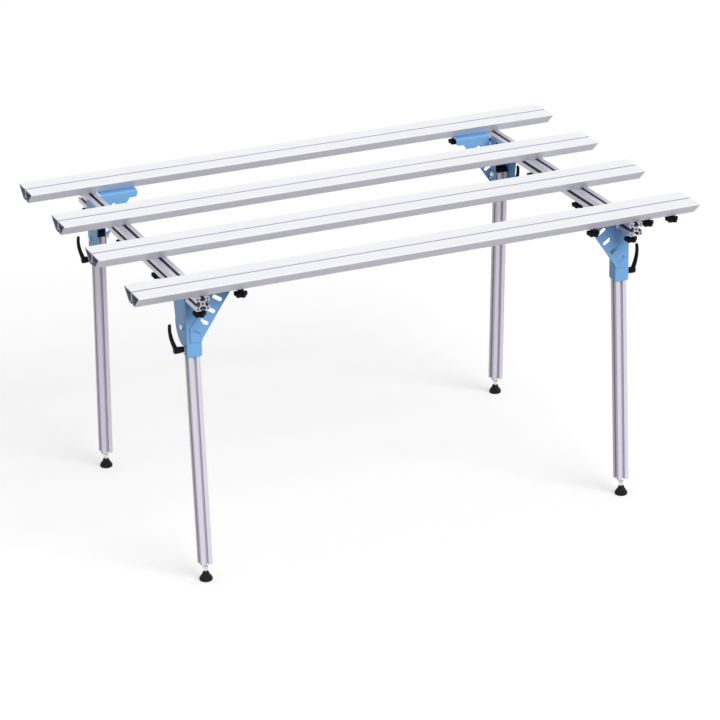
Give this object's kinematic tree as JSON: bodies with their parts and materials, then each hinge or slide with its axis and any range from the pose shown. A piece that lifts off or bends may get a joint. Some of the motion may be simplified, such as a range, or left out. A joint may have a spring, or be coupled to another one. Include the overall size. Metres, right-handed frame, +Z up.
{
  "type": "folding workbench",
  "caption": "Folding workbench with flat-topped aluminium bars on slotted rails, hinged slotted legs in blue sheet-steel brackets, black clamp levers, star knobs and levelling feet.",
  "frame": {"origin": "On the floor, under the middle of the overall box.", "axes": "+X along the bars, +Y from the front bar to the back bar, +Z up."},
  "size_m": [1.5, 0.925, 0.806],
  "materials": {
    "bar_aluminium": "satin anodised",
    "rail_aluminium": "satin anodised",
    "leg_aluminium": "satin anodised",
    "blue_paint": "satin powder coat",
    "bright_steel": "zinc plated",
    "black_plastic": "moulded satin",
    "black_rubber": "moulded satin"
  },
  "bodies": {
    "bar_back": {"bar_back": "bar_aluminium"},
    "bar_back_inner": {"bar_back_inner": "bar_aluminium"},
    "bar_front_inner": {"bar_front_inner": "bar_aluminium"},
    "bar_front": {"bar_front": "bar_aluminium"},
    "frame": {"rail_left": "rail_aluminium", "rail_right": "rail_aluminium", "bracket_front_left": "blue_paint", "gusset_front_left": "blue_paint", "pivot_bolt_front_left": "bright_steel", "bracket_back_left": "blue_paint", "gusset_back_left": "blue_paint", "pivot_bolt_back_left": "bright_steel", "bracket_front_right": "blue_paint", "gusset_front_right": "blue_paint", "pivot_bolt_front_right": "bright_steel", "bracket_back_right": "blue_paint", "gusset_back_right": "blue_paint", "pivot_bolt_back_right": "bright_steel"},
    "leg_front_left": {"leg_front_left": "leg_aluminium", "leg_cap_front_left": "black_plastic", "clamp_stud_front_left": "bright_steel", "clamp_washer_front_left": "bright_steel"},
    "lever_front_left": {"clamp_lever_front_left": "black_plastic"},
    "foot_front_left": {"foot_stud_front_left": "bright_steel", "foot_pad_front_left": "black_rubber"},
    "leg_back_left": {"leg_back_left": "leg_aluminium", "leg_cap_back_left": "black_plastic", "clamp_stud_back_left": "bright_steel", "clamp_washer_back_left": "bright_steel"},
    "lever_back_left": {"clamp_lever_back_left": "black_plastic"},
    "foot_back_left": {"foot_stud_back_left": "bright_steel", "foot_pad_back_left": "black_rubber"},
    "leg_front_right": {"leg_front_right": "leg_aluminium", "leg_cap_front_right": "black_plastic", "clamp_stud_front_right": "bright_steel", "clamp_washer_front_right": "bright_steel"},
    "lever_front_right": {"clamp_lever_front_right": "black_plastic"},
    "foot_front_right": {"foot_stud_front_right": "bright_steel", "foot_pad_front_right": "black_rubber"},
    "leg_back_right": {"leg_back_right": "leg_aluminium", "leg_cap_back_right": "black_plastic", "clamp_stud_back_right": "bright_steel", "clamp_washer_back_right": "bright_steel"},
    "lever_back_right": {"clamp_lever_back_right": "black_plastic"},
    "foot_back_right": {"foot_stud_back_right": "bright_steel", "foot_pad_back_right": "black_rubber"},
    "knob_back_left": {"knob_back_left": "black_plastic"},
    "knob_back_inner_left": {"knob_back_inner_left": "black_plastic"},
    "knob_front_inner_left": {"knob_front_inner_left": "black_plastic"},
    "knob_front_left": {"knob_front_left": "black_plastic"},
    "knob_flange_front_left": {"knob_flange_front_left": "black_plastic"},
    "knob_flange_back_left": {"knob_flange_back_left": "black_plastic"},
    "knob_back_right": {"knob_back_right": "black_plastic"},
    "knob_back_inner_right": {"knob_back_inner_right": "black_plastic"},
    "knob_front_inner_right": {"knob_front_inner_right": "black_plastic"},
    "knob_front_right": {"knob_front_right": "black_plastic"},
    "knob_flange_front_right": {"knob_flange_front_right": "black_plastic"},
    "knob_flange_back_right": {"knob_flange_back_right": "black_plastic"},
    "knob_bar_end": {"knob_bar_end": "black_plastic"},
    "knob_bar_second": {"knob_bar_second": "black_plastic"}
  },
  "joints": [
    {"name": "slide_bar_back", "type": "slide", "parent": "frame", "child": "bar_back", "axis": [1, 0, 0], "range_m": [-0.05, 0.05]},
    {"name": "slide_bar_back_inner", "type": "slide", "parent": "frame", "child": "bar_back_inner", "axis": [1, 0, 0], "range_m": [-0.05, 0.05]},
    {"name": "slide_bar_front_inner", "type": "slide", "parent": "frame", "child": "bar_front_inner", "axis": [1, 0, 0], "range_m": [-0.05, 0.05]},
    {"name": "slide_bar_front", "type": "slide", "parent": "frame", "child": "bar_front", "axis": [1, 0, 0], "range_m": [-0.01, 0.05]},
    {"name": "fold_front_left", "type": "hinge", "parent": "frame", "child": "leg_front_left", "pos_m": [-0.582, -0.34368, 0.6677], "axis": [1, 0, 0], "range_deg": [0, 96]},
    {"name": "clamp_front_left", "type": "hinge", "parent": "leg_front_left", "child": "lever_front_left", "pos_m": [-0.602, -0.34666, 0.61078], "axis": [-1, 0, 0], "range_deg": [0, 120]},
    {"name": "level_front_left", "type": "slide", "parent": "leg_front_left", "child": "foot_front_left", "axis": [0, -0.0523, -0.9986], "range_m": [-0.007, 0]},
    {"name": "fold_back_left", "type": "hinge", "parent": "frame", "child": "leg_back_left", "pos_m": [-0.582, 0.34368, 0.6677], "axis": [-1, 0, 0], "range_deg": [0, 89]},
    {"name": "clamp_back_left", "type": "hinge", "parent": "leg_back_left", "child": "lever_back_left", "pos_m": [-0.602, 0.34666, 0.61078], "axis": [-1, 0, 0], "range_deg": [0, 120]},
    {"name": "level_back_left", "type": "slide", "parent": "leg_back_left", "child": "foot_back_left", "axis": [0, 0.0523, -0.9986], "range_m": [-0.007, 0]},
    {"name": "fold_front_right", "type": "hinge", "parent": "frame", "child": "leg_front_right", "pos_m": [0.582, -0.34368, 0.6677], "axis": [1, 0, 0], "range_deg": [0, 96]},
    {"name": "clamp_front_right", "type": "hinge", "parent": "leg_front_right", "child": "lever_front_right", "pos_m": [0.602, -0.34666, 0.61078], "axis": [1, 0, 0], "range_deg": [0, 120]},
    {"name": "level_front_right", "type": "slide", "parent": "leg_front_right", "child": "foot_front_right", "axis": [0, -0.0523, -0.9986], "range_m": [-0.007, 0]},
    {"name": "fold_back_right", "type": "hinge", "parent": "frame", "child": "leg_back_right", "pos_m": [0.582, 0.34368, 0.6677], "axis": [-1, 0, 0], "range_deg": [0, 89]},
    {"name": "clamp_back_right", "type": "hinge", "parent": "leg_back_right", "child": "lever_back_right", "pos_m": [0.602, 0.34666, 0.61078], "axis": [1, 0, 0], "range_deg": [0, 120]},
    {"name": "level_back_right", "type": "slide", "parent": "leg_back_right", "child": "foot_back_right", "axis": [0, 0.0523, -0.9986], "range_m": [-0.007, 0]},
    {"name": "turn_knob_back_left", "type": "hinge", "parent": "frame", "child": "knob_back_left", "pos_m": [-0.582, 0.41, 0.7384], "axis": [0, 0, 1], "continuous": true},
    {"name": "turn_knob_back_inner_left", "type": "hinge", "parent": "frame", "child": "knob_back_inner_left", "pos_m": [-0.582, 0.142, 0.7384], "axis": [0, 0, 1], "continuous": true},
    {"name": "turn_knob_front_inner_left", "type": "hinge", "parent": "frame", "child": "knob_front_inner_left", "pos_m": [-0.582, -0.121, 0.7384], "axis": [0, 0, 1], "continuous": true},
    {"name": "turn_knob_front_left", "type": "hinge", "parent": "frame", "child": "knob_front_left", "pos_m": [-0.582, -0.41, 0.7384], "axis": [0, 0, 1], "continuous": true},
    {"name": "turn_knob_flange_front_left", "type": "hinge", "parent": "frame", "child": "knob_flange_front_left", "pos_m": [-0.475, -0.41, 0.7709], "axis": [0, 0, 1], "continuous": true},
    {"name": "turn_knob_flange_back_left", "type": "hinge", "parent": "frame", "child": "knob_flange_back_left", "pos_m": [-0.475, 0.41, 0.7709], "axis": [0, 0, 1], "continuous": true},
    {"name": "turn_knob_back_right", "type": "hinge", "parent": "frame", "child": "knob_back_right", "pos_m": [0.582, 0.41, 0.7384], "axis": [0, 0, 1], "continuous": true},
    {"name": "turn_knob_back_inner_right", "type": "hinge", "parent": "frame", "child": "knob_back_inner_right", "pos_m": [0.582, 0.142, 0.7384], "axis": [0, 0, 1], "continuous": true},
    {"name": "turn_knob_front_inner_right", "type": "hinge", "parent": "frame", "child": "knob_front_inner_right", "pos_m": [0.582, -0.121, 0.7384], "axis": [0, 0, 1], "continuous": true},
    {"name": "turn_knob_front_right", "type": "hinge", "parent": "frame", "child": "knob_front_right", "pos_m": [0.582, -0.41, 0.7384], "axis": [0, 0, 1], "continuous": true},
    {"name": "turn_knob_flange_front_right", "type": "hinge", "parent": "frame", "child": "knob_flange_front_right", "pos_m": [0.475, -0.41, 0.7709], "axis": [0, 0, 1], "continuous": true},
    {"name": "turn_knob_flange_back_right", "type": "hinge", "parent": "frame", "child": "knob_flange_back_right", "pos_m": [0.475, 0.41, 0.7709], "axis": [0, 0, 1], "continuous": true},
    {"name": "turn_knob_bar_end", "type": "hinge", "parent": "bar_front", "child": "knob_bar_end", "pos_m": [0.6985, -0.41, 0.7737], "axis": [0, 0, 1], "continuous": true},
    {"name": "turn_knob_bar_second", "type": "hinge", "parent": "bar_front", "child": "knob_bar_second", "pos_m": [0.6285, -0.41, 0.7737], "axis": [0, 0, 1], "continuous": true}
  ]
}
